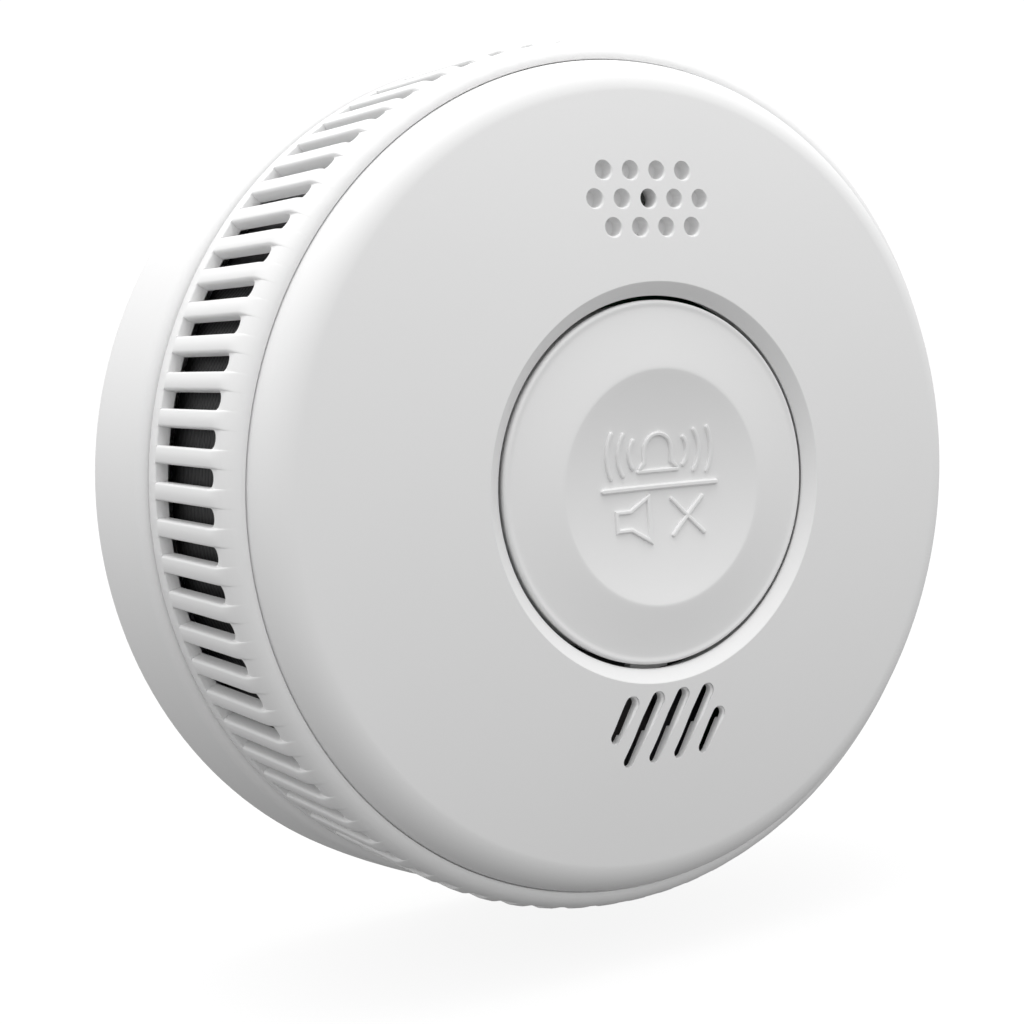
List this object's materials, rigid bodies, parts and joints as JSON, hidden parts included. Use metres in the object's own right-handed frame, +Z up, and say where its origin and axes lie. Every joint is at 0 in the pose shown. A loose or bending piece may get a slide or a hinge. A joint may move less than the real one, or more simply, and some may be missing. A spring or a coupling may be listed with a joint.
{
  "type": "carbon monoxide detector",
  "caption": "Round wall-mounted gas alarm with a slotted vent ring, domed front cover, central push button, sound slots and a twist-off mounting plate.",
  "frame": {"origin": "centre of the mounting plate's flat back face, on the wall", "axes": "+Y into the wall along the alarm's round axis, the front faces -Y, +Z up, +X to the right seen from the front"},
  "size_m": [0.112, 0.044, 0.112],
  "materials": {
    "white_plastic": "fine matte moulded ABS",
    "plate_plastic": "matte moulded ABS",
    "dark_plastic": "matte black moulding",
    "screen_steel": "blackened woven wire",
    "steel": "zinc plated",
    "brass": "rolled sheet",
    "board_laminate": "green solder mask",
    "cell_wrap": "shrink sleeve",
    "clear_plastic": "clear polycarbonate",
    "lamp_plastic": "tinted epoxy",
    "label_film": "blank film label"
  },
  "bodies": {
    "wall_plate": {"mounting_plate": "plate_plastic"},
    "alarm": {"base_housing": "white_plastic", "vent_ring": "white_plastic", "insect_screen": "screen_steel", "front_cover": "white_plastic", "button_switch_case": "dark_plastic", "housing_screw_1": "steel", "housing_screw_2": "steel", "housing_screw_3": "steel", "board_screw_1": "steel", "board_screw_2": "steel", "board_screw_3": "steel", "board_screw_4": "steel", "circuit_board": "board_laminate", "chamber_base": "dark_plastic", "chamber_cap": "dark_plastic", "infrared_emitter": "clear_plastic", "photodiode": "dark_plastic", "co_cell_body": "steel", "co_cell_cap": "plate_plastic", "co_cell_pin_1": "steel", "co_cell_pin_2": "steel", "lithium_cell": "cell_wrap", "battery_holder": "dark_plastic", "battery_tab_positive": "steel", "battery_tab_negative": "steel", "sounder_case": "dark_plastic", "piezo_disc": "brass", "sounder_contact_1": "brass", "sounder_contact_2": "brass", "status_lamp": "lamp_plastic", "light_pipe": "clear_plastic", "microcontroller": "dark_plastic", "boost_inductor": "dark_plastic", "storage_capacitor": "steel", "service_header": "dark_plastic", "power_switch_case": "dark_plastic", "rating_label": "label_film"},
    "button": {"test_button": "white_plastic"},
    "switch_plunger": {"button_switch_plunger": "dark_plastic"},
    "power_knob": {"power_switch_knob": "dark_plastic"}
  },
  "joints": [
    {"name": "twist_off", "type": "hinge", "parent": "wall_plate", "child": "alarm", "pos_m": [0, 0, 0], "axis": [0, -1, 0], "range_deg": [0, 15]},
    {"name": "button_press", "type": "slide", "parent": "alarm", "child": "button", "axis": [0, 1, 0], "range_m": [0, 0.001], "stiffness_N_per_m": 1500, "springref_m": -0.001},
    {"name": "plunger_press", "type": "slide", "parent": "alarm", "child": "switch_plunger", "axis": [0, 1, 0], "range_m": [0, 0.001]},
    {"name": "power_slide", "type": "slide", "parent": "alarm", "child": "power_knob", "axis": [1, 0, 0], "range_m": [0, 0.003]}
  ],
  "couplings": [
    {"joint": "plunger_press", "follows": "button_press", "ratio": 1}
  ]
}
